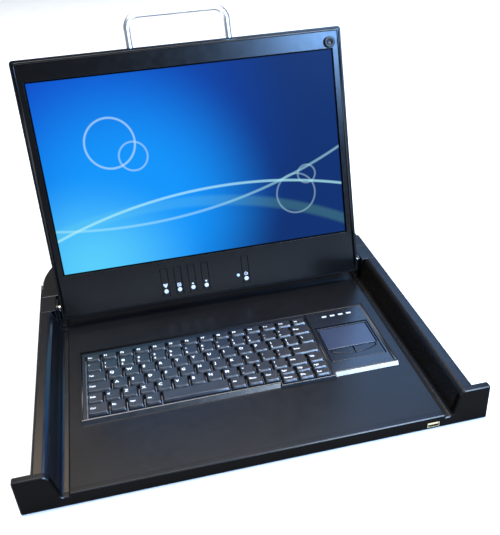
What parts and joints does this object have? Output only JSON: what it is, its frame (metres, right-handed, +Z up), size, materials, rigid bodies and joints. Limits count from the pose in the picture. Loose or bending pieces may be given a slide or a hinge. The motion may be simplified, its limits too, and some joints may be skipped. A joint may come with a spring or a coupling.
{
  "type": "rackmount lcd console drawer",
  "caption": "Rack drawer one unit high with a keyboard, touchpad and fold-up flat display with a lifting handle, on telescopic slides.",
  "frame": {"origin": "underside of the chassis, mid-width, in the plane where the ears rest on the rack posts", "axes": "+X to the right seen from the front, +Y to the back of the rack, +Z up"},
  "size_m": [0.4826, 0.467, 0.369],
  "materials": {
    "black_steel": "fine satin black powder coat",
    "zinc_steel": "zinc plated",
    "panel_plastic": "satin black, fine grain",
    "bright_steel": "satin nickel",
    "display_shell": "black anodised",
    "bezel_plastic": "satin black",
    "screen_glass": "lit flat screen with an even anti-glare face",
    "chrome_rod": "satin chrome",
    "anchor_metal": "as cast",
    "soft_rubber": "soft matt",
    "key_plastic": "fine grain, white legends",
    "pad_plastic": "smooth satin",
    "lens": "clear diffusing lens",
    "circuit_board": "green solder mask",
    "plated_socket": "bright plated shell",
    "socket_plastic": "black"
  },
  "bodies": {
    "chassis": {"chassis_pan": "black_steel", "slide_outer_left": "zinc_steel", "slide_outer_right": "zinc_steel"},
    "slide_middle_left": {"slide_middle_left": "zinc_steel"},
    "slide_middle_right": {"slide_middle_right": "zinc_steel"},
    "display": {"display_shell": "display_shell", "display_bezel": "bezel_plastic", "screen_module": "screen_glass", "module_holders": "zinc_steel", "driver_board": "circuit_board", "button_board": "circuit_board", "display_bumper": "soft_rubber", "power_lamp": "lens", "carry_handle": "chrome_rod", "handle_anchors": "anchor_metal", "hinge_leaf_left": "bright_steel", "hinge_leaf_right": "bright_steel"},
    "menu_button": {"menu_button": "bezel_plastic"},
    "select_button": {"select_button": "bezel_plastic"},
    "up_button": {"up_button": "bezel_plastic"},
    "down_button": {"down_button": "bezel_plastic"},
    "power_button": {"power_button": "bezel_plastic"},
    "function_keys": {"function_keys": "key_plastic"},
    "number_keys": {"number_keys": "key_plastic"},
    "upper_letter_keys": {"upper_letter_keys": "key_plastic"},
    "home_letter_keys": {"home_letter_keys": "key_plastic"},
    "lower_letter_keys": {"lower_letter_keys": "key_plastic"},
    "modifier_keys": {"modifier_keys": "key_plastic"},
    "space_bar": {"space_bar": "key_plastic"},
    "arrow_keys": {"arrow_keys": "key_plastic"},
    "touchpad_button_left": {"touchpad_button_left": "pad_plastic"},
    "touchpad_button_right": {"touchpad_button_right": "pad_plastic"},
    "drawer": {"control_board": "circuit_board", "cover_screws": "bright_steel", "deck_plate": "black_steel", "drawer_tray": "black_steel", "front_panel": "panel_plastic", "front_usb_port": "plated_socket", "hinge_bracket_left": "bright_steel", "hinge_bracket_right": "bright_steel", "hinge_cap_left": "black_steel", "hinge_cap_right": "black_steel", "host_port": "plated_socket", "key_guide": "zinc_steel", "key_membrane": "soft_rubber", "key_plate": "zinc_steel", "keyboard_board": "circuit_board", "keyboard_frame": "panel_plastic", "power_inlet": "socket_plastic", "rear_cover": "black_steel", "side_cover_left": "black_steel", "side_cover_right": "black_steel", "slide_inner_left": "zinc_steel", "slide_inner_right": "zinc_steel", "status_lights": "lens", "touchpad": "pad_plastic", "touchpad_surround": "pad_plastic", "usb_board": "circuit_board", "video_port": "plated_socket"}
  },
  "joints": [
    {"name": "drawer_slide", "type": "slide", "parent": "chassis", "child": "drawer", "axis": [0, -1, 0], "range_m": [0, 0.35]},
    {"name": "slide_middle_left", "type": "slide", "parent": "chassis", "child": "slide_middle_left", "axis": [0, -1, 0], "range_m": [0, 0.175]},
    {"name": "slide_middle_right", "type": "slide", "parent": "chassis", "child": "slide_middle_right", "axis": [0, -1, 0], "range_m": [0, 0.175]},
    {"name": "display_hinge", "type": "hinge", "parent": "drawer", "child": "display", "pos_m": [0, 0.2921, 0.0385], "axis": [1, 0, 0], "range_deg": [-15, 105.2]},
    {"name": "menu_press", "type": "hinge", "parent": "display", "child": "menu_button", "pos_m": [0, 0.28917, 0.07349], "axis": [1, 0, 0], "range_deg": [0, 1.5], "stiffness_Nm_per_rad": 1.5, "springref_deg": -1.15},
    {"name": "select_press", "type": "hinge", "parent": "display", "child": "select_button", "pos_m": [0, 0.28917, 0.07349], "axis": [1, 0, 0], "range_deg": [0, 1.5], "stiffness_Nm_per_rad": 1.5, "springref_deg": -1.15},
    {"name": "up_press", "type": "hinge", "parent": "display", "child": "up_button", "pos_m": [0, 0.28917, 0.07349], "axis": [1, 0, 0], "range_deg": [0, 1.5], "stiffness_Nm_per_rad": 1.5, "springref_deg": -1.15},
    {"name": "down_press", "type": "hinge", "parent": "display", "child": "down_button", "pos_m": [0, 0.28917, 0.07349], "axis": [1, 0, 0], "range_deg": [0, 1.5], "stiffness_Nm_per_rad": 1.5, "springref_deg": -1.15},
    {"name": "power_press", "type": "hinge", "parent": "display", "child": "power_button", "pos_m": [0, 0.28917, 0.07349], "axis": [1, 0, 0], "range_deg": [0, 1.5], "stiffness_Nm_per_rad": 1.5, "springref_deg": -1.15},
    {"name": "function_keys_press", "type": "slide", "parent": "drawer", "child": "function_keys", "axis": [0, 0, -1], "range_m": [0, 0.0022], "stiffness_N_per_m": 900, "springref_m": -0.002},
    {"name": "number_keys_press", "type": "slide", "parent": "drawer", "child": "number_keys", "axis": [0, 0, -1], "range_m": [0, 0.0022], "stiffness_N_per_m": 900, "springref_m": -0.002},
    {"name": "upper_letter_keys_press", "type": "slide", "parent": "drawer", "child": "upper_letter_keys", "axis": [0, 0, -1], "range_m": [0, 0.0022], "stiffness_N_per_m": 900, "springref_m": -0.002},
    {"name": "home_letter_keys_press", "type": "slide", "parent": "drawer", "child": "home_letter_keys", "axis": [0, 0, -1], "range_m": [0, 0.0022], "stiffness_N_per_m": 900, "springref_m": -0.002},
    {"name": "lower_letter_keys_press", "type": "slide", "parent": "drawer", "child": "lower_letter_keys", "axis": [0, 0, -1], "range_m": [0, 0.0022], "stiffness_N_per_m": 900, "springref_m": -0.002},
    {"name": "modifier_keys_press", "type": "slide", "parent": "drawer", "child": "modifier_keys", "axis": [0, 0, -1], "range_m": [0, 0.0022], "stiffness_N_per_m": 900, "springref_m": -0.002},
    {"name": "space_bar_press", "type": "slide", "parent": "drawer", "child": "space_bar", "axis": [0, 0, -1], "range_m": [0, 0.0022], "stiffness_N_per_m": 300, "springref_m": -0.002},
    {"name": "arrow_keys_press", "type": "slide", "parent": "drawer", "child": "arrow_keys", "axis": [0, 0, -1], "range_m": [0, 0.0022], "stiffness_N_per_m": 900, "springref_m": -0.002},
    {"name": "touchpad_button_left_press", "type": "slide", "parent": "drawer", "child": "touchpad_button_left", "axis": [0, 0, -1], "range_m": [0, 0.0008], "stiffness_N_per_m": 600, "springref_m": -0.001},
    {"name": "touchpad_button_right_press", "type": "slide", "parent": "drawer", "child": "touchpad_button_right", "axis": [0, 0, -1], "range_m": [0, 0.0008], "stiffness_N_per_m": 600, "springref_m": -0.001}
  ],
  "couplings": [
    {"joint": "slide_middle_left", "follows": "drawer_slide", "ratio": 0.5},
    {"joint": "slide_middle_right", "follows": "drawer_slide", "ratio": 0.5}
  ]
}
